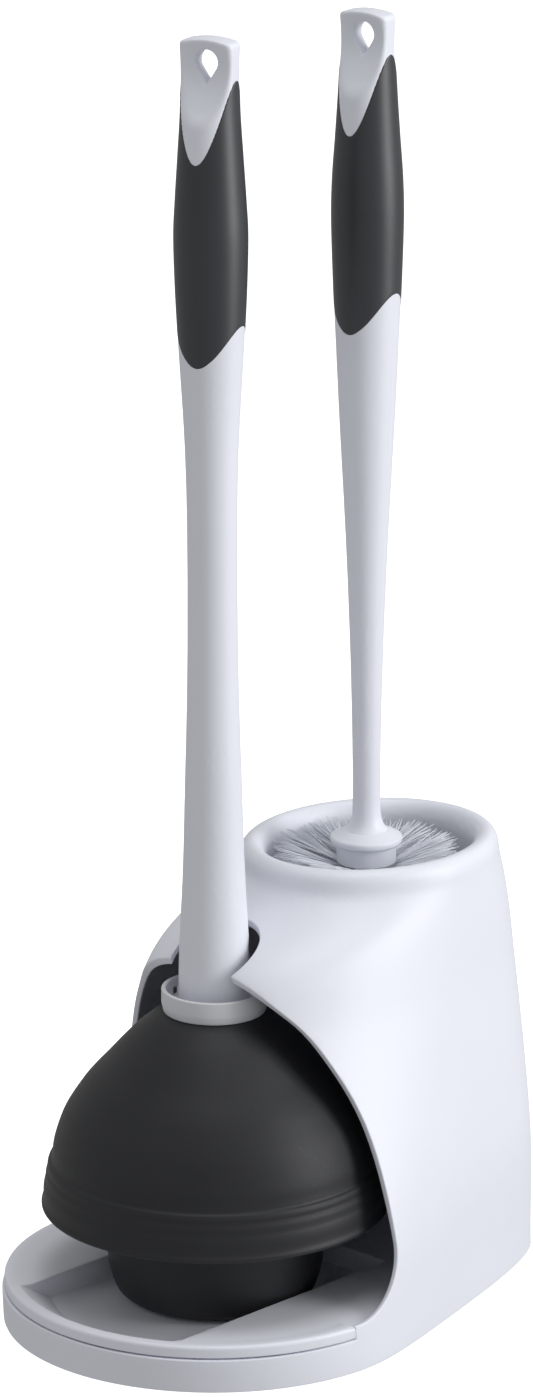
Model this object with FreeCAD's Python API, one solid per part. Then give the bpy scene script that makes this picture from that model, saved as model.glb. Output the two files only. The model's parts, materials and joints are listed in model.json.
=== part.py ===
"""Toilet plunger and bowl brush on one caddy, as an assembly of separate pieces.

Millimetres, +Z up.  -Y is the caddy's open front, +Y the rear, where the brush stands
in its well.  Every piece is drawn about the plunger's axis, standing on the ground plane,
and the finished set is moved so that its origin is the middle of the caddy's footprint.
"""

import FreeCAD
import Part

import math
import os

V = FreeCAD.Vector
UP = V(0, 0, 1)
OVER = 1.0                     # how far a cutter runs past the face it opens
REACH = 120.0                  # half-size of a cutter that spans the whole caddy

# Caddy: outer shell
BASE_RADIUS = 82.5             # round front of the base, about the plunger's axis
REAR_Y = 146.6                 # rearmost point of the base
WALL = 1.9
ROOF_DROP = 2.2                # extra wall height where the shell slopes into a roof
BAND_TOP = 13.2                # seam between the shell's front band and the tray rim
RIM_TOP = 18.5                 # top of the tray rim
SIDE_TAPER = 0.29              # how fast the base narrows towards the rear
REAR_SQUARENESS = 7.0          # superellipse power of the rear corners at the ground
FRONT_SQUARENESS = 2.5         # superellipse power of the hood's front
SQUARE_FROM = 90.0             # height by which the hood's front has that power
ROUNDING_FROM = 150.0          # height where it starts to round off into the oval lip
TAPER_EASE = 0.12              # softens the start of the side taper

# Caddy: brush opening
OPENING_Y = 86.7
OPENING_X_RADIUS = 37.1
OPENING_Y_RADIUS = 44.2
LIP_WIDTH = 10.4
LIP_FLAT = 0.8                 # level width left along the crest of the lip
LIP_BASE = 167.0
LIP_TOP = 175.0
SKIRT_WALL = 2.0
SKIRT_BOTTOM = 158.0

# Caddy: arch and handle notch
HORN_Y = -7.4                  # front tips of the hood, either side of the notch
SILL_Y = -5.0                  # where the arch's foot runs out into the tray rim
ARCH_CLIMB = [(19, 43), (18.6, 65), (15.4, 94.5), (9.0, 113), (3.2, 125.5), (-2.4, 133.3), (HORN_Y, 142.5)]
NOTCH_RADIUS = 17.5
NOTCH_FROM = 128.0

# Caddy: brush well
WELL_WALL = 2.0
WELL_BOTTOM = 58.0
WELL_FOOT_Y = 106.5
WELL_FOOT_X_RADIUS = 32.0
WELL_FOOT_Y_RADIUS = 33.0
WELL_COLLAR_WALL = 1.6
WELL_COLLAR_HEIGHT = 5.0
WELL_FIT = 0.05                # between the well's collar and the shell's skirt

# Caddy: tray
TRAY_BOTTOM = 3.0
TRAY_GAP = 0.4                 # between the tray's edge and the shell's wall
SEAM_HEIGHT = 0.6              # groove under the tray rim, where it meets the shell's band
SEAM_DEPTH = 1.2
CHANNEL_FLOOR = 9.0
CHANNEL_HALF_WIDTH = 41.0
CHANNEL_BACK = 52.0
CHANNEL_FRONT_RADIUS = 64.0
PLATEAU_TOP = 17.5
RIM_RADIUS = 82.0
RIM_INNER_RADIUS = 77.5
TRAY_SKIN = 2.5
REAR_FLOOR_FROM = 74.0         # behind this the tray is only a thin floor under the well
POCKET_FRONT = -66.0           # hollows under the plateau, either side of the channel
MIDDLE_FRONT = -58.0           # hollow under the channel floor

# Caddy: fixings
FRONT_SCREW = (61.5, 50.0)
REAR_SCREW = (36.0, 124.0)
BOSS_RADIUS = 4.2
BOSS_BOTTOM = 17.8
BOSS_TOP = 34.0
RIB_REACH = 16.0
RIB_HALF_THICKNESS = 1.2
POST_RADIUS = 5.2
PILOT_RADIUS = 1.6
SCREW_RADIUS = 1.7
SCREW_TOP = 29.0
SCREW_HEAD_RADIUS = 3.4
SCREW_HEAD_HEIGHT = 2.2
SCREW_SEAT = 5.8               # height of the face each screw head bears on
PAD_RADIUS = 7.0
FRONT_PAD = (26.0, -46.0)
REAR_PAD = (22.0, 118.0)

# Handles
GRIP_SKIN = 2.2
WAVE_RADIUS = 12.2             # distance from the middle at which the grip's wavy ends have risen
GRIP_WAVE = 16.2
TONGUE_WAVE = 31.0
GRIP_CAP_SPLIT = 449.0
SPIGOT_RADIUS = 6.0
SPIGOT_LENGTH = 26.0
SOCKET_SPARE = 28.0            # depth of the shaft's socket beyond the cap's spigot
BORE_CLEARANCE = 0.05
HANG_HOLE_RADIUS = 4.4
HANG_HOLE_DROP = 8.6          # from the handle's top to the hole's centre
HANG_HOLE_POINT = 8.2          # from the hole's centre to its pointed lower end
CAP_THICKNESS = 8.0
CAP_SCOOP_RADIUS = 42.0
CAP_CROWN_RADIUS = 55.0

PLUNGER_TOP = 502.6
PLUNGER_YAW = 17.0
PLUNGER_FOOT = 127.0
PLUNGER_SPIGOT_RADIUS = 8.0
PLUNGER_SPIGOT_BOTTOM = 112.0

BRUSH_Y = 85.0
BRUSH_TOP = 501.0
BRUSH_YAW = 8.0
BRUSH_FOOT = 177.4

# Plunger head
RING_RADIUS = 20.4
RING_BORE = 18.6
RING_BOTTOM = 124.6
RING_TOP = 133.6
RING_HOLE = 14.05              # round the foot of the handle
RING_FLOOR = 2.4
RING_NOTCH = 4.0
RING_NOTCH_HEIGHT = 2.8
RING_NOTCH_TURN = 6.0          # degrees round from the left
CUP_RADIUS = 67.3
CUP_EDGE = 46.0
CUP_BORE = 8.1
CUP_CEILING = 117.5
FLANGE_RADIUS = 42.8
FLANGE_WALL = 3.0
FLANGE_FOOT_RADIUS = 36.0
FLANGE_BOTTOM = 10.5
FLANGE_TOP = 94.5
WASHER_RADIUS = 15.0
WASHER_BOTTOM = 110.0
WASHER_TOP = 112.0
BOLT_RADIUS = 3.0
BOLT_HEAD_RADIUS = 5.5
BOLT_HEAD_BOTTOM = 106.5
BOLT_END = 130.0

# Brush head
PIN_RADIUS = 4.0               # of the handle, through the collar and into the hub
PIN_BOTTOM = 152.0
COLLAR_RADIUS = 14.1
COLLAR_BOTTOM = 172.0
COLLAR_SHOULDER = 175.4
HUB_NECK_RADIUS = 11.6
HUB_NECK_BOTTOM = 164.4
HUB_RADIUS = 6.5
HUB_BOTTOM = 71.0
ROWS = 8
ROW_TOP = 156.0
ROW_PITCH = 11.0
ROW_HALF_THICKNESS = 4.0
TOP_ROW_RISE = 10.0
BOTTOM_ROW_RISE = -6.0
HEAD_RADIUS = 34.6
HEAD_TAPER = 0.30
HEAD_TAPER_START = 9.7
TIP_RADIUS = 9.0
TIP_BOTTOM = 62.0


# ---------------------------------------------------------------- small helpers

def at(x, y, z=0.0):
    return V(x, y, z)


def rod(radius, bottom, top, x=0.0, y=0.0):
    return Part.makeCylinder(radius, top - bottom, at(x, y, bottom), UP)


def block(x0, x1, y0, y1, z0, z1):
    return Part.makeBox(x1 - x0, y1 - y0, z1 - z0, at(x0, y0, z0))


def turned(points, x=0.0, y=0.0):
    """A solid of revolution about Z from a closed outline of (radius, height) corners."""
    corners = [V(r, 0, z) for r, z in points]
    face = Part.Face(Part.makePolygon(corners + corners[:1]))
    solid = face.revolve(V(0, 0, 0), UP, 360)
    solid.translate(at(x, y))
    return solid


def smooth_edge(points):
    """One smooth edge through points of (radius, height)."""
    curve = Part.BSplineCurve()
    curve.interpolate([V(r, 0, z) for r, z in points])
    return curve.toShape()


def straight_edges(points):
    """Straight edges joining points of (radius, height) in turn."""
    corners = [V(r, 0, z) for r, z in points]
    return [Part.LineSegment(start, end).toShape() for start, end in zip(corners, corners[1:])]


def smooth_turned(points):
    """A solid of revolution whose side is one smooth curve through points of (radius, height)."""
    low, high = points[0], points[-1]
    edges = [smooth_edge(points)] + straight_edges([high, (0, high[1]), (0, low[1]), low])
    return Part.Face(Part.Wire(edges)).revolve(V(0, 0, 0), UP, 360)


def side_prism(points, half_length):
    """A prism along X whose side view is the closed outline of (y, z) points or edges."""
    wire = Part.Wire(points)
    face = Part.Face(wire)
    face.translate(V(-half_length, 0, 0))
    return face.extrude(V(2 * half_length, 0, 0))


def line(y0, z0, y1, z1):
    return Part.LineSegment(V(0, y0, z0), V(0, y1, z1)).toShape()


def closed_curve(points):
    curve = Part.BSplineCurve()
    curve.interpolate(Points=points, PeriodicFlag=True)
    return Part.Wire(curve.toShape())


def superellipse(x_radius, y_radius, power, angle):
    """The point at an angle from +X on a superellipse quadrant, as positive (x, y)."""
    x = x_radius * math.cos(angle) ** (2 / power)
    y = y_radius * math.sin(angle) ** (2 / power)
    return x, y


def oval(x_radius, y_radius, centre_y, z):
    """A closed elliptical wire, by the same scheme of points at every height."""
    points = []
    for degrees in range(-90, 270, 15):
        angle = math.radians(degrees)
        points.append(V(x_radius * math.cos(angle), centre_y + y_radius * math.sin(angle), z))
    return closed_curve(points)


def loft(wires):
    return Part.makeLoft(wires, True, False)


def mirrored_pair(x, y):
    return [(-x, y), (x, y)]


# ---------------------------------------------------------------- caddy shell

def section(z, centre, half_width, front, rear):
    """One horizontal outline of the caddy's body, named by where its widest point is."""
    return {"z": z, "centre": centre, "half_width": half_width, "front": front, "rear": rear}


BODY = [
    section(z=0, centre=0, half_width=BASE_RADIUS, front=-BASE_RADIUS, rear=REAR_Y),
    section(z=8, centre=1, half_width=82.3, front=-BASE_RADIUS, rear=REAR_Y - 0.1),
    section(z=18, centre=3, half_width=81.8, front=-82.2, rear=146.4),
    section(z=40, centre=13, half_width=79.1, front=-78, rear=145.4),
    section(z=65, centre=28, half_width=72.6, front=-64, rear=144.4),
    section(z=94, centre=43.5, half_width=63.3, front=-46, rear=144.2),
    section(z=113, centre=57, half_width=57.4, front=-34, rear=143.4),
    section(z=128, centre=66.5, half_width=53.7, front=-20.5, rear=142.8),
    section(z=142, centre=74.5, half_width=51.2, front=-11, rear=142.3),
    section(z=154, centre=81, half_width=49.2, front=10.5, rear=141.9),
    section(z=160, centre=83.8, half_width=48.3, front=24.4, rear=141.6),
]


def oval_prism(grow, bottom, top):
    """The brush opening's oval, grown sideways, as an upright prism."""
    face = Part.Face(oval(OPENING_X_RADIUS + grow, OPENING_Y_RADIUS + grow, OPENING_Y, bottom))
    return face.extrude(V(0, 0, top - bottom))


def lip_roll(degrees):
    """Height and sideways shift of the lip's rounded crest, from its side (0) to its top (90)."""
    turn = math.radians(degrees)
    half_width = (LIP_WIDTH - LIP_FLAT) / 2
    return LIP_BASE + (LIP_TOP - LIP_BASE) * math.sin(turn), half_width * (1 - math.cos(turn))


def lip_section(degrees):
    z, roll = lip_roll(degrees)
    grow = LIP_WIDTH - roll
    return section(z=z, centre=OPENING_Y, half_width=OPENING_X_RADIUS + grow,
                   front=OPENING_Y - OPENING_Y_RADIUS - grow, rear=OPENING_Y + OPENING_Y_RADIUS + grow)


def body_outline(part, inset=0.0, drop=0.0):
    """The closed wire of one body section: round nose, tapering sides, squarer rear."""
    z = part["z"]
    blend = min(1.0, z / LIP_BASE) ** 2
    squared = min(1.0, z / SQUARE_FROM)
    rounded = min(1.0, max(0.0, (z - ROUNDING_FROM) / (LIP_BASE - ROUNDING_FROM)))
    nose_power = 2 + (FRONT_SQUARENESS - 2) * (squared - rounded)
    rear_power = REAR_SQUARENESS + (2 - REAR_SQUARENESS) * blend ** 0.5
    taper = SIDE_TAPER * (1 - blend ** 0.85)
    half_width = part["half_width"] - inset
    nose = part["centre"] - part["front"] - inset
    tail = part["rear"] - part["centre"] - inset
    right = []
    for degrees in (90, 75, 60, 45, 30, 15, 0):
        x, y = superellipse(half_width, nose, nose_power, math.radians(degrees))
        right.append((x, part["centre"] - y))
    for share in (0.17, 0.36, 0.56, 0.74, 0.87, 0.95, 0.988, 1.0):
        squeeze = (1 - share ** rear_power) ** (1 / rear_power)
        lost = taper * tail * (math.hypot(share, TAPER_EASE) - TAPER_EASE)
        right.append(((half_width - lost) * squeeze, part["centre"] + tail * share))
    left = [(-x, y) for x, y in reversed(right[1:-1])]
    return closed_curve([V(x, y, z - drop) for x, y in right + left])


def flare_wires():
    """Ovals that widen from the opening's straight wall to the lip's crest and past it."""
    wires = []
    for degrees in (0, 35, 65, 90):
        z, roll = lip_roll(degrees)
        wires.append(oval(OPENING_X_RADIUS + roll, OPENING_Y_RADIUS + roll, OPENING_Y, z))
    return wires


def arch_cutter():
    """Everything ahead of the arched front edge, above the band."""
    edge = Part.BSplineCurve()
    edge.interpolate([V(0, y, z) for y, z in ARCH_CLIMB])
    foot_y, foot_z = ARCH_CLIMB[0]
    horn_z = ARCH_CLIMB[-1][1]
    sill = Part.Arc(V(0, SILL_Y, RIM_TOP), V(0, 12.0, 26.0), V(0, foot_y, foot_z)).toShape()
    return side_prism([
        line(HORN_Y, BAND_TOP, HORN_Y, RIM_TOP),
        line(HORN_Y, RIM_TOP, SILL_Y, RIM_TOP),
        sill,
        edge.toShape(),
        line(HORN_Y, horn_z, HORN_Y, 200),
        line(HORN_Y, 200, -REACH, 200),
        line(-REACH, 200, -REACH, BAND_TOP),
        line(-REACH, BAND_TOP, HORN_Y, BAND_TOP),
    ], REACH)


def screw_places():
    return mirrored_pair(*FRONT_SCREW) + mirrored_pair(*REAR_SCREW)


def shell_bosses(cavity):
    """Screw bosses inside the shell, each with a rib that ties it to the wall."""
    bosses = []
    for x, y in screw_places():
        side = 1 if x > 0 else -1
        near, far = sorted((x, x + RIB_REACH * side))
        rib = block(near, far, y - RIB_HALF_THICKNESS, y + RIB_HALF_THICKNESS, BOSS_BOTTOM, BOSS_TOP)
        boss = rod(BOSS_RADIUS, BOSS_BOTTOM, BOSS_TOP, x, y).fuse(rib)
        bosses.append(boss.common(cavity))
    return bosses


def housing():
    lip = [lip_section(degrees) for degrees in (0, 30, 60, 90)]
    outer = loft([body_outline(part) for part in BODY + lip])
    inner = [body_outline(BODY[0], inset=WALL, drop=OVER)]
    for part in BODY[1:] + lip[:1]:
        inner.append(body_outline(part, inset=WALL, drop=ROOF_DROP * min(1.0, part["z"] / 60)))
    cavity = loft(inner)
    shell = outer.cut(cavity)
    shell = shell.fuse(oval_prism(SKIRT_WALL, SKIRT_BOTTOM, LIP_BASE))
    tube = oval_prism(0, SKIRT_BOTTOM - OVER, LIP_BASE + OVER)
    shell = shell.cut(tube).cut(loft(flare_wires()))
    for boss in shell_bosses(cavity):
        shell = shell.fuse(boss)
    for x, y in screw_places():
        shell = shell.cut(rod(PILOT_RADIUS, PLATEAU_TOP, SCREW_TOP + OVER, x, y))
    shell = shell.cut(arch_cutter())
    return shell.cut(rod(NOTCH_RADIUS, NOTCH_FROM, 200))


# ---------------------------------------------------------------- brush well

def well_loft(inset, bottom, top):
    """The well's tapering oval between two heights, inset from its outside."""
    wires = []
    for z in (bottom, top):
        share = (SKIRT_BOTTOM - z) / (SKIRT_BOTTOM - WELL_BOTTOM)
        x_radius = OPENING_X_RADIUS + WELL_WALL + (WELL_FOOT_X_RADIUS - OPENING_X_RADIUS - WELL_WALL) * share
        y_radius = OPENING_Y_RADIUS + WELL_WALL + (WELL_FOOT_Y_RADIUS - OPENING_Y_RADIUS - WELL_WALL) * share
        centre = OPENING_Y + (WELL_FOOT_Y - OPENING_Y) * share
        wires.append(oval(x_radius - inset, y_radius - inset, centre, z))
    return loft(wires)


def brush_well():
    """A drip-proof cup for the brush head, pushed up over the shell's inner skirt."""
    fit = SKIRT_WALL + WELL_FIT
    cup = well_loft(0, WELL_BOTTOM, SKIRT_BOTTOM)
    collar = oval_prism(fit + WELL_COLLAR_WALL, SKIRT_BOTTOM - 3, SKIRT_BOTTOM + WELL_COLLAR_HEIGHT)
    socket = oval_prism(fit, SKIRT_BOTTOM, SKIRT_BOTTOM + WELL_COLLAR_HEIGHT + OVER)
    hollow = well_loft(WELL_WALL, WELL_BOTTOM + WELL_WALL, SKIRT_BOTTOM + OVER)
    return cup.fuse(collar).cut(socket).cut(hollow)


# ---------------------------------------------------------------- tray

def plan_solid(inset, bottom, top):
    """The foot of the caddy's body, inset from its outside, between two heights."""
    foot = loft([body_outline(part, inset=inset, drop=OVER) for part in BODY[:4]])
    return foot.common(block(-REACH, REACH, -REACH, 2 * REACH, bottom, top))


def tray_rim():
    """The raised front rim, lapped over the shell's band so that only a fine seam shows."""
    root = RIM_INNER_RADIUS - 4.5
    rim = turned([(root, PLATEAU_TOP), (RIM_INNER_RADIUS, RIM_TOP), (RIM_RADIUS - 1.4, RIM_TOP),
                  (RIM_RADIUS - 0.4, RIM_TOP - 0.5), (RIM_RADIUS, RIM_TOP - 1.5),
                  (RIM_RADIUS, BAND_TOP + SEAM_HEIGHT), (RIM_RADIUS - SEAM_DEPTH, BAND_TOP + SEAM_HEIGHT),
                  (RIM_RADIUS - SEAM_DEPTH, BAND_TOP), (root, BAND_TOP)])
    return rim.common(block(-REACH, REACH, -REACH, HORN_Y - 0.1, 0, 60))


def channel_cutter():
    """The lowered way, open to the front, that the plunger's foot stands in and slides out by."""
    rise = RIM_TOP - CHANNEL_FLOOR + OVER
    spread = (RIM_INNER_RADIUS - CHANNEL_FRONT_RADIUS) * rise / (RIM_TOP - CHANNEL_FLOOR)
    floor = V(0, 0, CHANNEL_FLOOR)
    dish = Part.makeCone(CHANNEL_FRONT_RADIUS, CHANNEL_FRONT_RADIUS + spread, rise, floor, UP)
    half = CHANNEL_HALF_WIDTH
    return dish.common(block(-half, half, -REACH, CHANNEL_BACK, 0, 60))


def base_tray():
    edge = WALL + TRAY_GAP
    tray = plan_solid(edge, TRAY_BOTTOM, PLATEAU_TOP).fuse(tray_rim())
    tray = tray.cut(channel_cutter())
    tray = tray.cut(block(-REACH, REACH, REAR_FLOOR_FROM, REAR_Y, TRAY_BOTTOM + TRAY_SKIN, 60))
    pocket = plan_solid(edge + TRAY_SKIN, 0, PLATEAU_TOP - TRAY_SKIN)
    side_wall = CHANNEL_HALF_WIDTH + TRAY_SKIN
    for x0, x1 in ((-REACH, -side_wall), (side_wall, REACH)):
        tray = tray.cut(pocket.common(block(x0, x1, POCKET_FRONT, REAR_FLOOR_FROM - TRAY_SKIN, 0, 60)))
    middle = block(-side_wall, side_wall, MIDDLE_FRONT, CHANNEL_BACK, TRAY_BOTTOM - OVER,
                   CHANNEL_FLOOR - TRAY_SKIN)
    tray = tray.cut(middle)
    for x, y in mirrored_pair(*FRONT_PAD):
        tray = tray.fuse(rod(PAD_RADIUS, TRAY_BOTTOM, CHANNEL_FLOOR - 1, x, y))
    for x, y in screw_places():
        tray = tray.fuse(rod(POST_RADIUS, TRAY_BOTTOM, PLATEAU_TOP, x, y))
    for x, y in screw_places():
        tray = tray.cut(rod(SCREW_RADIUS + 0.2, 0, 40, x, y))
        tray = tray.cut(rod(SCREW_HEAD_RADIUS + 0.4, 0, SCREW_SEAT, x, y))
    return tray


def tray_screws():
    screws = []
    for x, y in screw_places():
        head = rod(SCREW_HEAD_RADIUS, SCREW_SEAT - SCREW_HEAD_HEIGHT, SCREW_SEAT, x, y)
        for half_x, half_y in ((2.2, 0.5), (0.5, 2.2)):
            head = head.cut(block(x - half_x, x + half_x, y - half_y, y + half_y, 0, SCREW_SEAT - 1.2))
        screws.append(head.fuse(rod(SCREW_RADIUS, SCREW_SEAT, SCREW_TOP, x, y)))
    return screws


def foot_pads():
    places = mirrored_pair(*FRONT_PAD) + mirrored_pair(*REAR_PAD)
    return [rod(PAD_RADIUS, 0, TRAY_BOTTOM, x, y) for x, y in places]


# ---------------------------------------------------------------- handles

PLUNGER_PROFILE = [(13.9, PLUNGER_FOOT), (13.8, 134.5), (13.2, 154.5), (12.1, 176), (10.9, 214.5),
                   (10.0, 245), (9.5, 280), (9.5, 318), (10.35, 351.7), (11.45, 371), (12.6, 391),
                   (13.5, 410), (13.9, 428), (13.3, 441), (12.2, 458), (11.2, 474), (11.0, 486),
                   (11.3, 496), (11.4, PLUNGER_TOP)]
BRUSH_PROFILE = [(8.4, BRUSH_FOOT), (6.5, 180), (5.6, 184), (5.4, 190), (5.6, 215), (6.6, 255), (8.2, 295),
                 (10.3, 335), (11.6, 362), (12.4, 380), (13.1, 396), (13.8, 420), (13.5, 436), (12.3, 453),
                 (11.2, 470), (10.6, 484), (10.9, 495), (11.1, BRUSH_TOP)]


def parabola_prism(low, rise, top):
    """A prism along Y whose lower side is a parabola, low at x = 0 and risen at x = WAVE_RADIUS."""
    reach = WAVE_RADIUS * 1.3
    points = []
    for step in range(-6, 7):
        x = reach * step / 6
        points.append((x, low + rise * (x / WAVE_RADIUS) ** 2))
    edges = [smooth_edge(points)] + straight_edges([points[-1], (reach, top), (-reach, top), points[0]])
    face = Part.Face(Part.Wire(edges))
    face.translate(V(0, -40, 0))
    return face.extrude(V(0, 80, 0))


def cap_trim(top):
    """What is taken off the top of a handle to make its flattened, crowned hanging end."""
    tools = []
    for side in (-1, 1):
        scoop_y = side * (CAP_THICKNESS / 2 + CAP_SCOOP_RADIUS)
        scoop = Part.makeCylinder(CAP_SCOOP_RADIUS, 60, V(-30, scoop_y, top - 4), V(1, 0, 0))
        tools.append(scoop)
    hole_z = top - HANG_HOLE_DROP
    round_end = Part.makeCylinder(HANG_HOLE_RADIUS, 60, V(0, -30, hole_z), V(0, 1, 0))
    lean = math.asin(HANG_HOLE_RADIUS / HANG_HOLE_POINT)
    corner_x = HANG_HOLE_RADIUS * math.cos(lean)
    corner_z = hole_z - HANG_HOLE_RADIUS * math.sin(lean)
    corners = [V(-corner_x, -30, corner_z), V(corner_x, -30, corner_z), V(0, -30, hole_z - HANG_HOLE_POINT)]
    point = Part.Face(Part.makePolygon(corners + corners[:1])).extrude(V(0, 60, 0))
    crown = Part.makeCylinder(CAP_CROWN_RADIUS, 60, V(0, -30, top - CAP_CROWN_RADIUS), V(0, 1, 0))
    above = block(-20, 20, -20, 20, top - HANG_HOLE_RADIUS, top + 5).cut(crown)
    return tools + [round_end, point, above]


def handle(profile, top, grip_low, tongue_tip, yaw, y):
    """The three mouldings of a handle: shaft, soft grip and hanging cap."""
    full = smooth_turned(profile)
    core = smooth_turned([(r - GRIP_SKIN, z) for r, z in profile])
    above_low = parabola_prism(grip_low, GRIP_WAVE, top + 5)
    above_tongue = parabola_prism(tongue_tip, TONGUE_WAVE, top + 20)
    grip = full.cut(core).common(above_low).cut(above_tongue)
    white = full.cut(grip)
    split = block(-40, 40, -40, 40, GRIP_CAP_SPLIT, top + 20)
    cap = white.common(split)
    for tool in cap_trim(top):
        cap = cap.cut(tool)
    spigot = rod(SPIGOT_RADIUS, GRIP_CAP_SPLIT - SPIGOT_LENGTH, GRIP_CAP_SPLIT)
    socket_bottom = GRIP_CAP_SPLIT - SPIGOT_LENGTH - SOCKET_SPARE
    shaft = white.cut(split).cut(rod(SPIGOT_RADIUS + BORE_CLEARANCE, socket_bottom, GRIP_CAP_SPLIT + OVER))
    pieces = [shaft, grip, cap.fuse(spigot)]
    for piece in pieces:
        piece.rotate(V(0, 0, 0), UP, yaw)
        piece.translate(at(0, y))
    return pieces


def plunger_handle():
    shaft, grip, cap = handle(PLUNGER_PROFILE, PLUNGER_TOP, grip_low=379.7, tongue_tip=457.0,
                              yaw=PLUNGER_YAW, y=0)
    shaft = shaft.fuse(rod(PLUNGER_SPIGOT_RADIUS, PLUNGER_SPIGOT_BOTTOM, PLUNGER_FOOT + OVER))
    shaft = shaft.cut(rod(BOLT_RADIUS, PLUNGER_SPIGOT_BOTTOM - OVER, BOLT_END + 2))
    return shaft, grip, cap


def brush_handle():
    shaft, grip, cap = handle(BRUSH_PROFILE, BRUSH_TOP, grip_low=377.5, tongue_tip=454.7,
                              yaw=BRUSH_YAW, y=BRUSH_Y)
    shaft = shaft.fuse(rod(PIN_RADIUS, PIN_BOTTOM, BRUSH_FOOT + OVER, 0, BRUSH_Y))
    return shaft, grip, cap


# ---------------------------------------------------------------- plunger head

CUP_OUTSIDE = [(RING_RADIUS - 0.6, RING_BOTTOM), (24.5, 122), (30.5, 117), (36.5, 110.8), (42.4, 104.2),
               (52.3, 92.6), (58.3, 83), (61.9, 73), (63.2, 65)]
CUP_BAND = [(64.4, 64.2), (64.9, 62.6), (65.0, 60.6), (65.7, 58.4), (66.0, 55.8), (66.6, 53.2), (66.8, 50),
            (CUP_RADIUS, 48), (CUP_RADIUS, CUP_EDGE)]
CUP_INSIDE = [(16, CUP_CEILING), (28, 110.6), (39, 100), (48.4, 89.4), (54.3, 80.5), (57.8, 71),
              (59.2, 63), (60.8, 57), (CUP_RADIUS - 3.4, CUP_EDGE)]


def retaining_ring():
    floor = RING_BOTTOM + RING_FLOOR
    ring = turned([(RING_HOLE, RING_BOTTOM), (RING_RADIUS - 0.7, RING_BOTTOM),
                   (RING_RADIUS, RING_BOTTOM + 3.4), (RING_RADIUS, RING_TOP), (RING_BORE, RING_TOP),
                   (RING_BORE, floor), (RING_HOLE, floor)])
    notch = block(-RING_RADIUS - OVER, -RING_BORE + 0.4, -RING_NOTCH / 2, RING_NOTCH / 2,
                  floor, floor + RING_NOTCH_HEIGHT)
    notch.rotate(V(0, 0, 0), UP, RING_NOTCH_TURN)
    return ring.cut(notch)


def rubber_cup():
    """The dome: shoulder under the ring, rounded side, beaded rim band, one wall thick."""
    neck = [(CUP_BORE, CUP_CEILING), (CUP_BORE, RING_BOTTOM)]
    edges = [smooth_edge(CUP_OUTSIDE)]
    edges += straight_edges(CUP_OUTSIDE[-1:] + CUP_BAND + CUP_INSIDE[-1:])
    edges.append(smooth_edge(CUP_INSIDE))
    edges += straight_edges(CUP_INSIDE[:1] + neck + CUP_OUTSIDE[:1])
    wire = Part.Wire(Part.__sortEdges__(edges))
    return Part.Face(wire).revolve(V(0, 0, 0), UP, 360)


def flange():
    """The inner sleeve that reaches below the dome, with a rounded, drawn-in foot."""
    foot = FLANGE_FOOT_RADIUS
    wall = FLANGE_WALL
    return turned([(foot - wall, FLANGE_BOTTOM), (foot, FLANGE_BOTTOM), (foot + 2.0, 12.2),
                   (foot + 3.6, 15.6), (foot + 4.9, 20), (FLANGE_RADIUS - 0.9, 26), (FLANGE_RADIUS, 40),
                   (FLANGE_RADIUS, FLANGE_TOP), (FLANGE_RADIUS - wall, FLANGE_TOP + 2),
                   (FLANGE_RADIUS - wall, 26), (foot + 1.0, 17)])


def cup_washer():
    washer = rod(WASHER_RADIUS, WASHER_BOTTOM, WASHER_TOP)
    return washer.cut(rod(BOLT_RADIUS + 0.2, WASHER_BOTTOM - OVER, WASHER_TOP + OVER))


def cup_bolt():
    head = rod(BOLT_HEAD_RADIUS, BOLT_HEAD_BOTTOM, WASHER_BOTTOM)
    head = head.cut(block(-BOLT_HEAD_RADIUS, BOLT_HEAD_RADIUS, -0.7, 0.7, 0, BOLT_HEAD_BOTTOM + 1.4))
    return head.fuse(rod(BOLT_RADIUS, WASHER_BOTTOM, BOLT_END))


# ---------------------------------------------------------------- brush head

def brush_collar():
    """The round guard on top of the brush head, with a narrower neck beneath."""
    bore = PIN_RADIUS + BORE_CLEARANCE
    return turned([(bore, HUB_NECK_BOTTOM), (HUB_NECK_RADIUS, HUB_NECK_BOTTOM),
                   (HUB_NECK_RADIUS, COLLAR_BOTTOM), (COLLAR_RADIUS - 0.7, COLLAR_BOTTOM),
                   (COLLAR_RADIUS, COLLAR_BOTTOM + 0.7),
                   (COLLAR_RADIUS, COLLAR_SHOULDER - 1.2), (COLLAR_RADIUS - 0.4, COLLAR_SHOULDER - 0.4),
                   (COLLAR_RADIUS - 1.4, COLLAR_SHOULDER), (8.4, BRUSH_FOOT), (bore, BRUSH_FOOT)], y=BRUSH_Y)


def brush_hub():
    hub = rod(HUB_RADIUS, HUB_BOTTOM, HUB_NECK_BOTTOM, 0, BRUSH_Y)
    return hub.cut(rod(PIN_RADIUS + BORE_CLEARANCE, PIN_BOTTOM, HUB_NECK_BOTTOM + OVER, 0, BRUSH_Y))


def bristle_row(index):
    """One ring of tufts as a dished disc: high rows sweep up, low rows sweep down."""
    z = ROW_TOP - ROW_PITCH * index
    rise = TOP_ROW_RISE + (BOTTOM_ROW_RISE - TOP_ROW_RISE) * index / (ROWS - 1)
    outer = min(HEAD_RADIUS, HEAD_TAPER * (z + rise) - HEAD_TAPER_START)
    thick = ROW_HALF_THICKNESS
    return turned([(HUB_RADIUS, z - thick), (outer, z + rise - thick), (outer, z + rise + thick),
                   (HUB_RADIUS, z + thick)], y=BRUSH_Y)


def bristle_tip():
    return turned([(0, TIP_BOTTOM), (TIP_RADIUS * 0.6, TIP_BOTTOM + 1.2), (TIP_RADIUS, TIP_BOTTOM + 5),
                   (TIP_RADIUS * 0.7, HUB_BOTTOM), (0, HUB_BOTTOM)], y=BRUSH_Y)


# ---------------------------------------------------------------- all pieces

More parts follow.
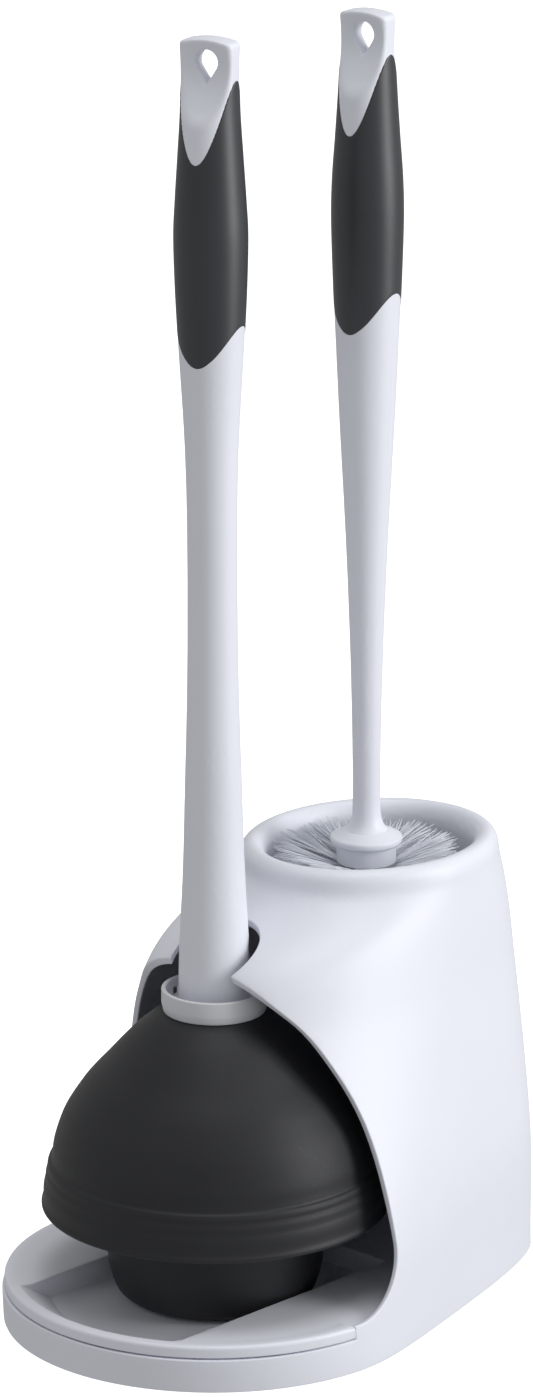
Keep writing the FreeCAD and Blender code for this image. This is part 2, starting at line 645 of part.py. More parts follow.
def build():
    pieces = {
        "caddy_housing": [housing()],
        "caddy_base_tray": [base_tray()],
        "caddy_brush_well": [brush_well()],
        "caddy_tray_screws": tray_screws(),
        "caddy_foot_pads": foot_pads(),
        "plunger_retaining_ring": [retaining_ring()],
        "plunger_rubber_cup": [rubber_cup()],
        "plunger_flange": [flange()],
        "plunger_washer": [cup_washer()],
        "plunger_bolt": [cup_bolt()],
        "brush_collar": [brush_collar()],
        "brush_hub": [brush_hub()],
        "brush_bristle_tip": [bristle_tip()],
    }
    for owner, parts in (("plunger", plunger_handle()), ("brush", brush_handle())):
        for name, solid in zip(("handle", "grip", "hang_cap"), parts):
            pieces[f"{owner}_{name}"] = [solid]
    for index in range(ROWS):
        pieces[f"brush_bristle_row_{index + 1}"] = [bristle_row(index)]
    return pieces


def main():
    os.makedirs("parts", exist_ok=True)
    pieces = build()
    footprint = pieces["caddy_housing"][0].optimalBoundingBox(False, False)
    to_origin = V(-footprint.Center.x, -footprint.Center.y, 0)
    print(f"footprint {footprint.XLength:.2f} x {footprint.YLength:.2f} mm")
    print(f"origin is {-to_origin.y:.3f} mm behind the plunger's axis")
    for name, solids in pieces.items():
        for solid in solids:
            solid.translate(to_origin)
        shape = solids[0] if len(solids) == 1 else Part.makeCompound(solids)
        shape.exportStep(os.path.join("parts", name + ".step"))
        volume = shape.Volume / 1000
        print(f"{name:26s} solids {len(shape.Solids)}  valid {shape.isValid()}  {volume:8.2f} cm3")


main()
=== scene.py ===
"""Plunger and bowl brush set: the looks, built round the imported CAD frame.

Metres, +Z up, -Y the caddy's open front.  Most hard mouldings are the CAD nodes themselves with
finishes, some of them with eased edges; the rubber, the bristles and the hanging caps are modelled
here.  Outlines and other shapes are given in millimetres and scaled by MM.
"""

import json
import math
import random

import bmesh
import bpy
import numpy as np
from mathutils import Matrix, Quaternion, Vector

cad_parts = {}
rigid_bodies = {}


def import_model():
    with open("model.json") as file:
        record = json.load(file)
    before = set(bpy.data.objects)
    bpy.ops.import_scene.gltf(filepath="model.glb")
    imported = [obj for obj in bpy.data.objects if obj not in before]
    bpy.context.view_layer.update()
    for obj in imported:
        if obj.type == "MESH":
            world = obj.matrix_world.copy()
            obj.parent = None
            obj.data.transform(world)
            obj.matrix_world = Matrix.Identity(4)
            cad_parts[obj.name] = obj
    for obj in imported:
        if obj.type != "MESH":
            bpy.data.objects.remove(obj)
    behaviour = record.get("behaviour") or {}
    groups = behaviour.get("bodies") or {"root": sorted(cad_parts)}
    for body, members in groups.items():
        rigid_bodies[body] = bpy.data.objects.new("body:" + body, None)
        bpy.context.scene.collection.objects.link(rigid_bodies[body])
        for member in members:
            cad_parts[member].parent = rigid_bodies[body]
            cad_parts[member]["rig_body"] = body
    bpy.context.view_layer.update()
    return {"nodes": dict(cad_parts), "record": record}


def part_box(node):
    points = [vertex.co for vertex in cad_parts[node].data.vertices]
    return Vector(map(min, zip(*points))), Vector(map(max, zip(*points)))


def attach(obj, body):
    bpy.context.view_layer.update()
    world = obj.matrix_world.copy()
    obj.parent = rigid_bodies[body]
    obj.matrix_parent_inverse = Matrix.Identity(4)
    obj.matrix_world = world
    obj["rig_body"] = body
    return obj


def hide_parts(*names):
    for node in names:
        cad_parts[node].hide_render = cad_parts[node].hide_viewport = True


MM = 0.001

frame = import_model()


# ------------------------------------------------------------------ camera, light and floor

AZIMUTH = math.radians(44.0)
ELEVATION = math.radians(16.68)
DISTANCE = 2.5862
LENS = 176.2
TARGET = Vector((0.0146, -0.0184, 0.2488))
ROLL = math.radians(0.15)
SENSOR_WIDTH = 36.0
CLIP_END = 20.0

KEY_SIZE, KEY_POWER = (0.8, 1.6), 24.5
TOP_SIZE, TOP_POWER = (1.2, 1.2), 12
LIGHT_AIM = Vector((0, 0, 0.2))
WORLD_STRENGTH = 0.43
WHITE = (1, 1, 1, 1)

FLOOR_HALF = 8
FLOOR_DROP = 0.0002            # keeps the floor just under what stands on it
FLOOR_COLOUR = (0.8, 0.8, 0.8, 1)
FLOOR_GLOW = 0.9


def add_camera():
    """A long-lens camera that looks at TARGET, rolled a touch about its own axis."""
    back = Vector((math.sin(AZIMUTH) * math.cos(ELEVATION),
                   -math.cos(AZIMUTH) * math.cos(ELEVATION),
                   math.sin(ELEVATION)))
    data = bpy.data.cameras.new("camera")
    data.lens = LENS
    data.sensor_width = SENSOR_WIDTH
    data.clip_end = CLIP_END
    camera = bpy.data.objects.new("camera", data)
    camera.location = TARGET + back * DISTANCE
    upright = (-back).to_track_quat("-Z", "Y")
    camera.rotation_euler = (upright @ Quaternion((0, 0, 1), -ROLL)).to_euler()
    bpy.context.scene.collection.objects.link(camera)
    bpy.context.scene.camera = camera


def from_camera_side(right, near, up):
    """A place given as metres to the camera's right, towards the camera, and up."""
    across = Vector((math.cos(AZIMUTH), math.sin(AZIMUTH), 0))
    towards = Vector((math.sin(AZIMUTH), -math.cos(AZIMUTH), 0))
    return across * right + towards * near + Vector((0, 0, up))


def add_light(name, size, power, location):
    """A rectangular area light turned towards the middle of the set."""
    data = bpy.data.lights.new(name, "AREA")
    data.shape = "RECTANGLE"
    data.size, data.size_y = size
    data.energy = power
    light = bpy.data.objects.new(name, data)
    light.location = location
    light.rotation_euler = (LIGHT_AIM - location).to_track_quat("-Z", "Y").to_euler()
    bpy.context.scene.collection.objects.link(light)


def add_studio():
    """Two soft lights and a dim world, which the camera itself sees as plain white."""
    add_light("key", KEY_SIZE, KEY_POWER, from_camera_side(1.75, 0.5, 0.65))
    add_light("top", TOP_SIZE, TOP_POWER, from_camera_side(0.1, 0.1, 2.2))
    world = bpy.data.worlds.new("studio")
    world.use_nodes = True
    nodes, links = world.node_tree.nodes, world.node_tree.links
    glow = nodes["Background"]
    glow.inputs["Strength"].default_value = WORLD_STRENGTH
    glow.inputs["Color"].default_value = WHITE
    backdrop = nodes.new("ShaderNodeBackground")
    backdrop.inputs["Color"].default_value = WHITE
    seen = nodes.new("ShaderNodeLightPath")
    either = nodes.new("ShaderNodeMixShader")
    links.new(seen.outputs["Is Camera Ray"], either.inputs["Fac"])
    links.new(glow.outputs["Background"], either.inputs[1])
    links.new(backdrop.outputs["Background"], either.inputs[2])
    links.new(either.outputs["Shader"], nodes["World Output"].inputs["Surface"])
    bpy.context.scene.world = world
    bpy.context.scene.view_settings.view_transform = "Standard"


def add_floor():
    """A wide pale sheet that lights and reflects in nothing."""
    mesh = bpy.data.meshes.new("floor")
    sheet = bmesh.new()
    bmesh.ops.create_grid(sheet, x_segments=1, y_segments=1, size=FLOOR_HALF)
    sheet.to_mesh(mesh)
    sheet.free()
    floor = bpy.data.objects.new("floor", mesh)
    floor.location.z = -FLOOR_DROP
    bpy.context.scene.collection.objects.link(floor)
    material = bpy.data.materials.new("floor")
    material.use_nodes = True
    shader = material.node_tree.nodes["Principled BSDF"]
    shader.inputs["Base Color"].default_value = FLOOR_COLOUR
    shader.inputs["Roughness"].default_value = 1.0
    shader.inputs["Specular IOR Level"].default_value = 0.0
    shader.inputs["Emission Color"].default_value = WHITE
    shader.inputs["Emission Strength"].default_value = FLOOR_GLOW
    mesh.materials.append(material)
    floor.visible_diffuse = False
    floor.visible_glossy = False


# ------------------------------------------------------------------ materials

def new_material(name, **values):
    """A node material with its uniform values on the shader's own sockets."""
    material = bpy.data.materials.new(name)
    material.use_nodes = True
    shader = material.node_tree.nodes["Principled BSDF"]
    for socket, value in values.items():
        shader.inputs[socket.replace("_", " ")].default_value = value
    return material


def add_node(material, kind, **inputs):
    made = material.node_tree.nodes.new(kind)
    for socket, value in inputs.items():
        made.inputs[socket.replace("_", " ")].default_value = value
    return made


def wire(material, start, output, end, socket):
    material.node_tree.links.new(start.outputs[output], end.inputs[socket])


def mottle(material, dark, light, scale):
    """Base colour that drifts between two close tones in object space."""
    where = add_node(material, "ShaderNodeTexCoord")
    noise = add_node(material, "ShaderNodeTexNoise", Scale=scale, Detail=4.0)
    ramp = add_node(material, "ShaderNodeValToRGB")
    ramp.color_ramp.elements[0].position = 0.3
    ramp.color_ramp.elements[0].color = (*dark, 1)
    ramp.color_ramp.elements[1].position = 0.7
    ramp.color_ramp.elements[1].color = (*light, 1)
    shader = material.node_tree.nodes["Principled BSDF"]
    wire(material, where, "Object", noise, "Vector")
    wire(material, noise, "Fac", ramp, "Fac")
    wire(material, ramp, "Color", shader, "Base Color")


def grain(material, scale, distance, rough_low, rough_high):
    """Fine moulded surface texture: bump and roughness from one noise in object space."""
    where = add_node(material, "ShaderNodeTexCoord")
    noise = add_node(material, "ShaderNodeTexNoise", Scale=scale, Detail=3.0)
    bump = add_node(material, "ShaderNodeBump", Strength=1.0, Distance=distance)
    spread = add_node(material, "ShaderNodeMapRange")
    spread.inputs["To Min"].default_value = rough_low
    spread.inputs["To Max"].default_value = rough_high
    shader = material.node_tree.nodes["Principled BSDF"]
    wire(material, where, "Object", noise, "Vector")
    wire(material, noise, "Fac", bump, "Height")
    wire(material, noise, "Fac", spread, "Value")
    wire(material, spread, "Result", shader, "Roughness")
    wire(material, bump, "Normal", shader, "Normal")


# material slot: (name, shader values, dark tone, light tone, mottle scale, grain values)
FINISHES = {
    "white_plastic": ("white_plastic", {"Specular_IOR_Level": 0.45},
                      (0.80, 0.822, 0.895), (0.82, 0.842, 0.915), 14, (1100, 0.000004, 0.36, 0.46)),
    "ring_plastic": ("ring_plastic", {"Specular_IOR_Level": 0.4},
                     (0.69, 0.70, 0.735), (0.73, 0.74, 0.775), 20, (1100, 0.000005, 0.42, 0.52)),
    "grip_rubber": ("grip_rubber", {"Specular_IOR_Level": 0.75},
                    (0.0175, 0.0195, 0.0245), (0.022, 0.0242, 0.030), 25, (1600, 0.000008, 0.40, 0.50)),
    "black_rubber": ("black_rubber", {"Specular_IOR_Level": 0.4},
                     (0.0135, 0.014, 0.0165), (0.019, 0.0195, 0.0225), 18, (900, 0.000010, 0.46, 0.60)),
    "pad_rubber": ("pad_rubber", {"Specular_IOR_Level": 0.3},
                   (0.09, 0.09, 0.09), (0.13, 0.13, 0.13), 60, (900, 0.00003, 0.7, 0.85)),
    "steel": ("zinc_steel", {"Metallic": 1.0},
              (0.55, 0.56, 0.58), (0.66, 0.67, 0.69), 150, (1200, 0.000006, 0.28, 0.42)),
    "bristle": ("bristle_nylon", {"Specular_IOR_Level": 0.5},
                (0.87, 0.90, 0.99), (0.92, 0.945, 1.0), 90, (1500, 0.000003, 0.3, 0.45)),
}


def finish(name, values, dark, light, mottle_scale, grain_values):
    material = new_material(name, **values)
    mottle(material, dark, light, mottle_scale)
    grain(material, *grain_values)
    return material


MATERIALS = {slot: finish(*recipe) for slot, recipe in FINISHES.items()}
SLOT_OF = {part["node"]: part["material_slot"] for part in frame["record"]["subparts"]}
BODY_OF = {name: node["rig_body"] for name, node in frame["nodes"].items()}


def dress_cad_nodes():
    """Every carried-over CAD node gets the finish of its own material slot."""
    for name, cad_object in frame["nodes"].items():
        cad_object.data.materials.clear()
        cad_object.data.materials.append(MATERIALS[SLOT_OF[name]])


# ------------------------------------------------------------------ mesh helpers

def add_piece(name, points, faces, *nodes):
    """A smooth-shaded mesh that rides with, and stands for, the named CAD nodes."""
    mesh = bpy.data.meshes.new(name)
    mesh.from_pydata([tuple(p) for p in points], [], faces)
    mesh.validate()
    mesh.shade_smooth()
    piece = bpy.data.objects.new(name, mesh)
    bpy.context.scene.collection.objects.link(piece)
    mesh.materials.append(MATERIALS[SLOT_OF[nodes[0]]])
    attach(piece, BODY_OF[nodes[0]])
    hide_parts(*nodes)
    return piece


def axis_of(node):
    """The upright centre line of a round CAD node, as (x, y)."""
    low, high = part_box(node)
    return (low.x + high.x) / 2, (low.y + high.y) / 2


def rounded(corners, steps=5):
    """A closed outline of (radius, height, rounding) corners with each corner turned in an arc."""
    outline = []
    count = len(corners)
    for i in range(count):
        here = Vector(corners[i][:2])
        before = Vector(corners[i - 1][:2]) - here
        after = Vector(corners[(i + 1) % count][:2]) - here
        size = min(corners[i][2], before.length * 0.49, after.length * 0.49)
        start = here + before.normalized() * size
        end = here + after.normalized() * size
        for step in range(steps + 1):
            t = step / steps
            outline.append(start * (1 - t) ** 2 + here * 2 * t * (1 - t) + end * t ** 2)
    return [(p.x, p.y) for p in outline]


def through(points, per_span=5):
    """A smooth open curve through (radius, height) points, as more points."""
    padded = [Vector(points[0]) * 2 - Vector(points[1])] + [Vector(p) for p in points]
    padded.append(Vector(points[-1]) * 2 - Vector(points[-2]))
    curve = []
    for a, b, c, d in zip(padded, padded[1:], padded[2:], padded[3:]):
        for step in range(per_span):
            t = step / per_span
            curve.append(0.5 * (2 * b + (c - a) * t + (2 * a - 5 * b + 4 * c - d) * t ** 2
                                + (3 * b - a - 3 * c + d) * t ** 3))
    curve.append(Vector(points[-1]))
    return [(p.x, p.y) for p in curve]


def spin(outline, x, y, segments):
    """Points and quads of a closed outline, in millimetres, turned about the upright axis at x, y."""
    points = []
    for step in range(segments):
        angle = 2 * math.pi * step / segments
        for radius, height in outline:
            points.append((x + radius * MM * math.cos(angle),
                           y + radius * MM * math.sin(angle), height * MM))
    count = len(outline)
    faces = []
    for step in range(segments):
        here = step * count
        there = (step + 1) % segments * count
        for i in range(count):
            j = (i + 1) % count
            faces.append((here + i, there + i, there + j, here + j))
    return points, faces


# ------------------------------------------------------------------ handles

GRIP_WIDE = 12.2               # the wavy edges are parabolas; each rises by its "rise" this far out
LOWER_RISE = 13.4
GRIP_PROUD = 0.1               # how far the sleeve stands out of the plastic
GRIP_ROLL = 0.9                # height of the rolled edge at either end
GRIP_ROLLED = [(0.0, 1.0), (0.0, 0.35), (0.18, 0.1), (0.45, -0.05), (GRIP_ROLL, -GRIP_PROUD)]
GRIP_ROWS = 70
GRIP_SEGMENTS = 180
SETS = {
    "plunger": {
        "yaw": math.radians(17), "tongue_tip": 457.0, "tongue_rise": 37.5, "end": 11.4,
        "curve": [(9.5, 280), (9.5, 318), (10.35, 351.7), (11.45, 371), (12.6, 391), (13.5, 410),
                  (13.9, 428), (13.3, 441), (12.2, 458), (11.2, 474), (11.0, 486), (11.3, 496)],
    },
    "brush": {
        "yaw": math.radians(8), "tongue_tip": 454.7, "tongue_rise": 40.5, "end": 11.1,
        "curve": [(8.2, 295), (10.3, 335), (11.6, 362), (12.4, 380), (13.1, 396), (13.8, 420),
                  (13.5, 436), (12.3, 453), (11.2, 470), (10.6, 484), (10.9, 495)],
    },
}
CAP_BOTTOM = 450.0             # where the cap meets the shaft, under the sleeve
CAP_HALF = 4.0                 # half the cap's least thickness, between its two scoops
CAP_SCOOP = 34.0               # radius of the scoops
CAP_SCOOP_DROP = 9.5           # from the top down to the scoops' middle
CAP_CROWN = 40.0               # radius of the crowned top
CAP_EDGE = 1.6                 # rounding of the crown's and the scoops' edges
CAP_UNDER_GRIP = 0.5           # how far the cap sinks where the sleeve covers it
DISH_RADIUS = 15.0             # a shallow dish round the hole, front and back
DISH_DEPTH = 1.5
DISH_DROP = 2.0                # from the hole's middle down to the dish's
DISH_EDGE = 2.4
HOLE_RADIUS = 4.4
HOLE_DROP = 8.6                # from the top down to the hole's middle
HOLE_POINT = 8.2               # from there down to its point
HOLE_EDGE = 1.3
FIELD_HALF = 15                # the sampled field reaches this far from the handle's axis
FIELD_STEP = 0.5


def handle_profile(family):
    """Outer radius of a handle at every half millimetre of height, from its design curve."""
    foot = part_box(f"{family}_handle")[0].z / MM
    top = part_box(f"{family}_hang_cap")[1].z / MM
    curve = np.array(through(SETS[family]["curve"] + [(SETS[family]["end"], top)], 12))
    heights = np.arange(foot, top + 0.5, 0.5)
    return heights, np.interp(heights, curve[:, 1], curve[:, 0])


def edge_height(tip, rise, across):
    """Height of a wavy edge at a distance from its middle."""
    return tip + rise * (across / GRIP_WIDE) ** 2


def add_grip(family, heights, radii):
    """The soft sleeve: smooth, a touch proud of the plastic, its wavy ends rolled under."""
    x, y = axis_of(f"{family}_handle")
    yaw = SETS[family]["yaw"]
    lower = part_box(f"{family}_grip")[0].z / MM, LOWER_RISE
    upper = SETS[family]["tongue_tip"], SETS[family]["tongue_rise"]
    points, faces = [], []
    for step in range(GRIP_SEGMENTS):
        angle = 2 * math.pi * step / GRIP_SEGMENTS
        ends = []
        for tip, rise in (lower, upper):
            z = tip
            for _ in range(4):
                z = edge_height(tip, rise, np.interp(z, heights, radii) * math.cos(angle))
            ends.append(z)
        low, high = ends
        column = [(low + run, sunk) for run, sunk in GRIP_ROLLED]
        for i in range(1, GRIP_ROWS):
            z = low + GRIP_ROLL + (high - low - 2 * GRIP_ROLL) * i / GRIP_ROWS
            column.append((z, -GRIP_PROUD))
        column += [(high - run, sunk) for run, sunk in reversed(GRIP_ROLLED)]
        for z, sunk in column:
            radius = (np.interp(z, heights, radii) - sunk) * MM
            points.append((x + radius * math.cos(angle + yaw),
                           y + radius * math.sin(angle + yaw), z * MM))
    count = len(points) // GRIP_SEGMENTS
    for step in range(GRIP_SEGMENTS):
        here, there = step * count, (step + 1) % GRIP_SEGMENTS * count
        for i in range(count - 1):
            faces.append((here + i, there + i, there + i + 1, here + i + 1))
    return add_piece(f"{family}_soft_grip", points, faces, f"{family}_grip")


def surface_net(field, origin, step):
    """Points and quads of a sampled field's zero surface, one point in each cell it crosses."""
    shape = np.array(field.shape) - 1
    total = np.zeros((*shape, 3))
    count = np.zeros(shape)
    inside = field < 0
    for axis in range(3):
        others = [a for a in range(3) if a != axis]
        for corner_a in (0, 1):
            for corner_b in (0, 1):
                start = [slice(0, n) for n in shape]
                start[others[0]] = slice(corner_a, corner_a + shape[others[0]])
                start[others[1]] = slice(corner_b, corner_b + shape[others[1]])
                end = list(start)
                end[axis] = slice(1, 1 + shape[axis])
                a, b = field[tuple(start)], field[tuple(end)]
                crossed = inside[tuple(start)] != inside[tuple(end)]
                share = np.where(crossed, a / np.where(crossed, a - b, 1), 0)
                total[..., axis] += share
                total[..., others[0]] += crossed * corner_a
                total[..., others[1]] += crossed * corner_b
                count += crossed
    cells = np.argwhere(count > 0)
    number = -np.ones(shape, int)
    number[tuple(cells.T)] = np.arange(len(cells))
    middle = total[tuple(cells.T)] / count[tuple(cells.T)][:, None]
    points = np.array(origin) + (cells + middle) * step
    faces = []
    for axis in range(3):
        one, two = [a for a in range(3) if a != axis]
        start = [slice(1, n) for n in shape]
        start[axis] = slice(0, shape[axis])
        end = list(start)
        end[axis] = slice(1, 1 + shape[axis])
        rising = inside[tuple(start)] & ~inside[tuple(end)]
        falling = ~inside[tuple(start)] & inside[tuple(end)]
        for crossing, forward in ((rising, axis != 1), (falling, axis == 1)):
            spots = np.argwhere(crossing)
            spots[:, one] += 1
            spots[:, two] += 1
            ring = []
            for back_one, back_two in ((0, 0), (1, 0), (1, 1), (0, 1)):
                spot = spots.copy()
                spot[:, one] -= back_one
                spot[:, two] -= back_two
                ring.append(number[tuple(spot.T)])
            quads = np.stack(ring if forward else ring[::-1], axis=1)
            faces += quads.tolist()
    return points, faces


def soft_max(a, b, radius):
    """The larger of two fields, with the crease between them rounded to about a radius."""
    overlap = np.maximum(radius - np.abs(a - b), 0) / radius
    return np.maximum(a, b) + overlap ** 2 * radius / 4


def teardrop(across, up):
    """Distance outside a hole that is round at the top and drawn to a point below."""
    lean = math.asin(HOLE_RADIUS / HOLE_POINT)
    side = np.abs(across) * math.cos(lean) - (up + HOLE_POINT) * math.sin(lean)
    circle = np.hypot(across, up) - HOLE_RADIUS
    beside = np.abs(across) * math.sin(lean) + up * math.cos(lean) < 0
    return np.where(beside, side, circle)


def add_cap(family, heights, radii):
    """The hanging end: scooped front and back round a teardrop hole, crowned on top."""
    x, y = axis_of(f"{family}_handle")
    yaw = SETS[family]["yaw"]
    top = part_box(f"{family}_hang_cap")[1].z / MM
    axis_u = np.arange(-FIELD_HALF, FIELD_HALF, FIELD_STEP)
    axis_z = np.arange(CAP_BOTTOM - 2 * FIELD_STEP, top + 3 * FIELD_STEP, FIELD_STEP)
    across, depth, height = np.meshgrid(axis_u, axis_u, axis_z, indexing="ij")
    tongue = edge_height(SETS[family]["tongue_tip"], SETS[family]["tongue_rise"], across)
    hidden = np.clip((tongue - 0.4 - height) / 1.0, 0, 1)
    solid = np.hypot(across, depth) - (np.interp(height, heights, radii) - CAP_UNDER_GRIP * hidden)
    crown_middle = top - CAP_CROWN
    crown = np.where(height > crown_middle, np.hypot(across, height - crown_middle), np.abs(across))
    solid = soft_max(solid, crown - CAP_CROWN, CAP_EDGE)
    scoop_middle = CAP_HALF + CAP_SCOOP
    scoop = np.hypot(np.abs(depth) - scoop_middle, height - (top - CAP_SCOOP_DROP))
    solid = soft_max(solid, CAP_SCOOP - scoop, CAP_EDGE)
    hole_middle = top - HOLE_DROP
    dish_middle = CAP_HALF - DISH_DEPTH + DISH_RADIUS
    dish = np.sqrt(across ** 2 + (np.abs(depth) - dish_middle) ** 2
                   + (height - hole_middle + DISH_DROP) ** 2)
    solid = soft_max(solid, DISH_RADIUS - dish, DISH_EDGE)
    solid = soft_max(solid, -teardrop(across, height - hole_middle), HOLE_EDGE)
    solid = np.maximum(solid, CAP_BOTTOM - height)
    local, faces = surface_net(solid, (axis_u[0], axis_u[0], axis_z[0]), FIELD_STEP)
    points = []
    for u, w, z in local:
        points.append((x + (u * math.cos(yaw) - w * math.sin(yaw)) * MM,
                       y + (u * math.sin(yaw) + w * math.cos(yaw)) * MM, z * MM))
    return add_piece(f"{family}_sculpted_cap", points, faces, f"{family}_hang_cap")


# ------------------------------------------------------------------ plunger head

# (radius, height), from the top of the dome down the outside and back up the inside
CUP_OUTSIDE = [(19.8, 124.5), (22.0, 123.5), (24.5, 122.0), (30.5, 117.0), (36.5, 110.8), (42.4, 104.2),
               (47.8, 98.3), (52.3, 92.6), (58.3, 83.0), (61.9, 73.0), (62.9, 67.0), (63.2, 65.2)]
CUP_BAND = [(63.7, 64.5), (64.3, 64.0), (64.8, 62.6), (64.85, 61.2), (65.1, 60.2), (65.5, 59.0),
            (65.65, 57.4), (65.8, 56.2), (66.2, 54.8), (66.45, 52.8), (66.5, 50.4), (66.7, 48.6),
            (67.2, 47.6), (67.25, 46.6), (66.9, 46.05)]
CUP_INSIDE = [(64.2, 46.05), (61.0, 57.0), (59.4, 63.0), (57.9, 71.0), (54.4, 80.5), (48.5, 89.4),
              (39.1, 100.0), (28.1, 110.6), (16.2, 117.4), (8.2, 117.6)]
CUP_HOLE_TOP = (8.2, 124.5)    # upper edge of the hole for the bolt
CUP_SEGMENTS = 256
# (radius, height, rounding of the corner)
FLANGE = [(33.0, 10.5, 0.8), (35.6, 10.5, 1.5), (38.6, 12.9, 2.5), (41.0, 19.5, 4.0), (42.0, 27.0, 4.0),
          (42.8, 42.0, 5.0), (42.8, 94.4, 0.6), (39.8, 96.4, 0.6), (39.8, 28.0, 6.0), (37.0, 17.0, 4.0)]
FLANGE_SEGMENTS = 192
# (radius, height), two rings of grooves in the underside
PAD = [(0.2, 3.0), (6.8, 3.0), (7.0, 2.8), (7.0, 0.7), (6.4, 0.05), (5.0, 0.0), (4.7, 0.5), (4.2, 0.5),
       (3.9, 0.0), (2.6, 0.0), (2.3, 0.5), (1.8, 0.5), (1.5, 0.0), (0.2, 0.0)]
PAD_SEGMENTS = 48


def add_cup():
    """The rubber dome with its bead, ribbed rim band and lip."""
    x, y = axis_of("plunger_rubber_cup")
    outline = through(CUP_OUTSIDE, 6) + through(CUP_BAND, 3) + through(CUP_INSIDE, 4) + [CUP_HOLE_TOP]
    points, faces = spin(outline[::-1], x, y, CUP_SEGMENTS)
    return add_piece("plunger_dome", points, faces, "plunger_rubber_cup")


def add_flange():
    """The inner sleeve that hangs below the dome."""
    x, y = axis_of("plunger_flange")
    points, faces = spin(rounded(FLANGE), x, y, FLANGE_SEGMENTS)
    return add_piece("plunger_sleeve", points, faces, "plunger_flange")


def add_foot_pads():
    """Four ribbed non-slip discs, one in each quarter round the middle of the CAD pads."""
    pads = frame["nodes"]["caddy_foot_pads"].data
    corners = np.array([vertex.co for vertex in pads.vertices])
    from_middle = corners - corners.mean(0)
    points, faces = [], []
    for side_x in (-1, 1):
        for side_y in (-1, 1):
            mine = corners[(from_middle[:, 0] * side_x > 0) & (from_middle[:, 1] * side_y > 0)]
            x, y = (mine.min(0) + mine.max(0))[:2] / 2
            ring, quads = spin(PAD[::-1], x, y, PAD_SEGMENTS)
            faces += [tuple(len(points) + corner for corner in quad) for quad in quads]
            points += ring
    return add_piece("caddy_ribbed_pads", points, faces, "caddy_foot_pads")


# ------------------------------------------------------------------ brush head

DICE_SEED = 11
ROWS = 8
UPSWEPT_ROWS = 5               # the rest sweep down
FANS = 11
FAN_STRANDS = (84, 60, 40)     # in a tuft of the top row, of the next, and of the rest
STRAND_RADIUS = 0.21
STRAND_TIP = 0.55              # the tip's share of the strand's radius
STRAND_POINTS = 6
TOP_ROW_SPREAD = 2.6           # the top tufts stand this much wider and higher than their CAD ring
TOP_ROW_LIFT = 2.6
ROOT_RADIUS = 5.9              # the strands start inside the hub
ROOT_HALF = 0.9                # a tuft's half height at the hub and at its end
ROW_HALF = 3.4
ROW_EDGE = 4.0                 # the part of a CAD ring's half height that is not sweep
END_STRANDS = 150
END_POINTS = 4
END_DOME = 0.07                # the end tuft's strands stop on a shallow bowl


def add_strand(points, faces, path, radius):
    """A thin three-sided bristle along a path of points, tapering at its tip."""
    base = len(points)
    last = len(path) - 1
    for i, here in enumerate(path):
        along = (path[min(i + 1, last)] - path[max(i - 1, 0)]).normalized()
        side = along.cross(Vector((0, 0, 1))).normalized()
        up = side.cross(along)
        size = radius * (STRAND_TIP if i == last else 1.0)
        for corner in range(3):
            turn = 2 * math.pi * corner / 3
            points.append((here + side * size * math.cos(turn) + up * size * math.sin(turn)) * MM)
    for i in range(last):
        for corner in range(3):
            other = (corner + 1) % 3
            row = base + 3 * i
            faces.append((row + corner, row + other, row + 3 + other, row + 3 + corner))
    faces.append((base + 3 * last, base + 3 * last + 1, base + 3 * last + 2))


def add_bristle_row(index, dice):
    """One ring of fans, each a tuft of fine strands that springs from a single hole in the hub."""
    node = f"brush_bristle_row_{index}"
    low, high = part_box(node)
    x, y = axis_of(node)
    outer = (high.x - low.x) / 2 / MM
    middle = (low.z + high.z) / 2 / MM
    half = (high.z - low.z) / 2 / MM
    sweep = (half - ROW_EDGE) * 2 * (1 if index <= UPSWEPT_ROWS else -1)
    root_z = middle - sweep / 2
    if index == 1:
        outer += TOP_ROW_SPREAD
        root_z += TOP_ROW_LIFT
    points, faces = [], []
    turn = dice.uniform(0, 2 * math.pi)
    for fan in range(FANS):
        heading = turn + 2 * math.pi * fan / FANS + dice.uniform(-0.08, 0.08)
        for _ in range(FAN_STRANDS[min(index, len(FAN_STRANDS)) - 1]):
            spread = dice.gauss(0, 0.15)
            lift = dice.uniform(-1, 1)
            reach = outer * dice.uniform(0.86, 0.985)
            bend = dice.uniform(-0.05, 0.05)
            path = []
            for i in range(STRAND_POINTS):
                share = i / (STRAND_POINTS - 1)
                radius = ROOT_RADIUS + (reach - ROOT_RADIUS) * share
                angle = heading + spread * share ** 0.8 + bend * share ** 2
                rise = lift * (ROOT_HALF + (ROW_HALF - ROOT_HALF) * share)
                path.append(Vector((x / MM + radius * math.cos(angle), y / MM + radius * math.sin(angle),
                                    root_z + sweep * share ** 0.75 + rise)))
            add_strand(points, faces, path, STRAND_RADIUS)
    return add_piece(f"brush_tufts_{index}", points, faces, node)


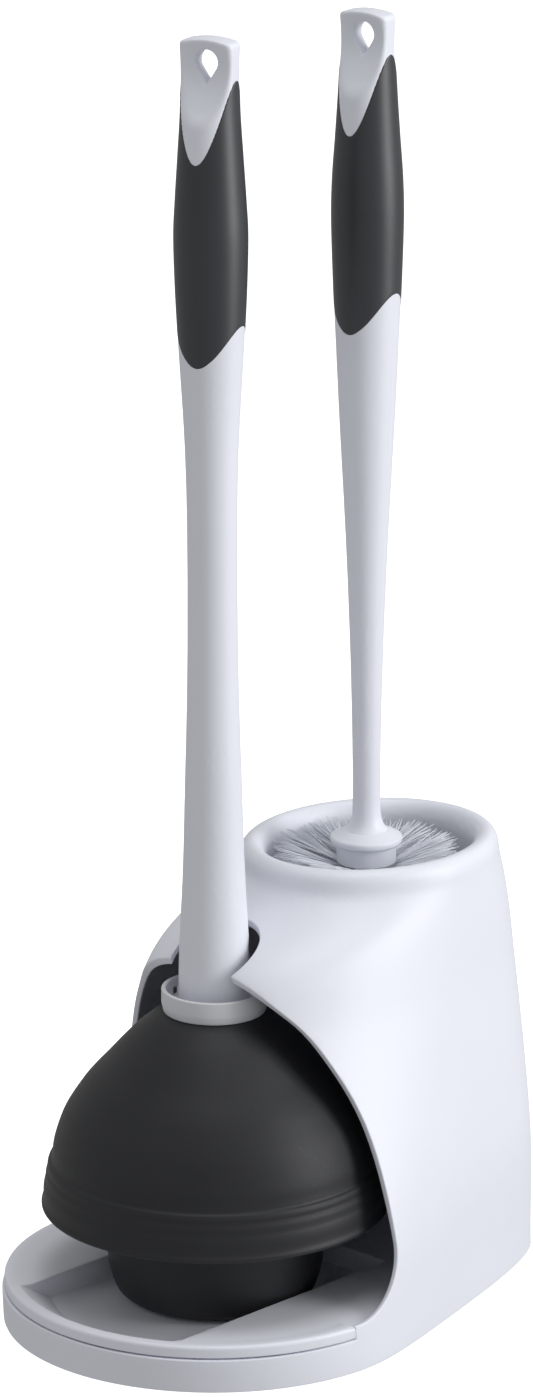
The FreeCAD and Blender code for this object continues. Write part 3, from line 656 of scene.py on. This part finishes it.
def add_bristle_tip(dice):
    """The tuft on the very end, splayed downwards."""
    low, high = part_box("brush_bristle_tip")
    x, y = axis_of("brush_bristle_tip")
    points, faces = [], []
    root_z = high.z / MM - 0.3
    for _ in range(END_STRANDS):
        heading = dice.uniform(0, 2 * math.pi)
        start = dice.uniform(0.5, 4.5)
        reach = dice.uniform(1.0, 8.3)
        end_z = low.z / MM + 0.4 + END_DOME * reach ** 2
        path = []
        for i in range(END_POINTS):
            share = i / (END_POINTS - 1)
            radius = start + (reach - start) * share
            path.append(Vector((x / MM + radius * math.cos(heading), y / MM + radius * math.sin(heading),
                                root_z + (end_z - root_z) * share)))
        add_strand(points, faces, path, STRAND_RADIUS)
    return add_piece("brush_end_tuft", points, faces, "brush_bristle_tip")


# ------------------------------------------------------------------ eased edges on the hard mouldings

EASED = {                      # CAD node: width of the rounding, in millimetres
    "caddy_housing": 0.5,
    "caddy_base_tray": 0.4,
    "plunger_retaining_ring": 0.4,
    "brush_collar": 0.4,
}
SHARP_ANGLE = math.radians(32)
WELD_DISTANCE = 0.00001


def ease_edges(name, width):
    """Smooth shading and rounded sharp edges for a CAD node; its shape changes by modifiers only."""
    cad_object = frame["nodes"][name]
    mesh = cad_object.data
    for attribute in ("custom_normal", "sharp_edge", "sharp_face"):
        if attribute in mesh.attributes:
            mesh.attributes.remove(mesh.attributes[attribute])
    mesh.shade_smooth()
    weld = cad_object.modifiers.new("weld", "WELD")
    weld.merge_threshold = WELD_DISTANCE
    bevel = cad_object.modifiers.new("bevel", "BEVEL")
    bevel.limit_method = "ANGLE"
    bevel.angle_limit = SHARP_ANGLE
    bevel.width = width * MM
    bevel.segments = 2
    bevel.use_clamp_overlap = False
    bevel.harden_normals = True
    cad_object.modifiers.new("normals", "WEIGHTED_NORMAL")


# ------------------------------------------------------------------ build

add_camera()
add_studio()
add_floor()
dress_cad_nodes()
for family in SETS:
    profile = handle_profile(family)
    add_grip(family, *profile)
    add_cap(family, *profile)
add_cup()
add_flange()
add_foot_pads()
dice = random.Random(DICE_SEED)
for index in range(1, ROWS + 1):
    add_bristle_row(index, dice)
add_bristle_tip(dice)
for name, width in EASED.items():
    ease_edges(name, width)
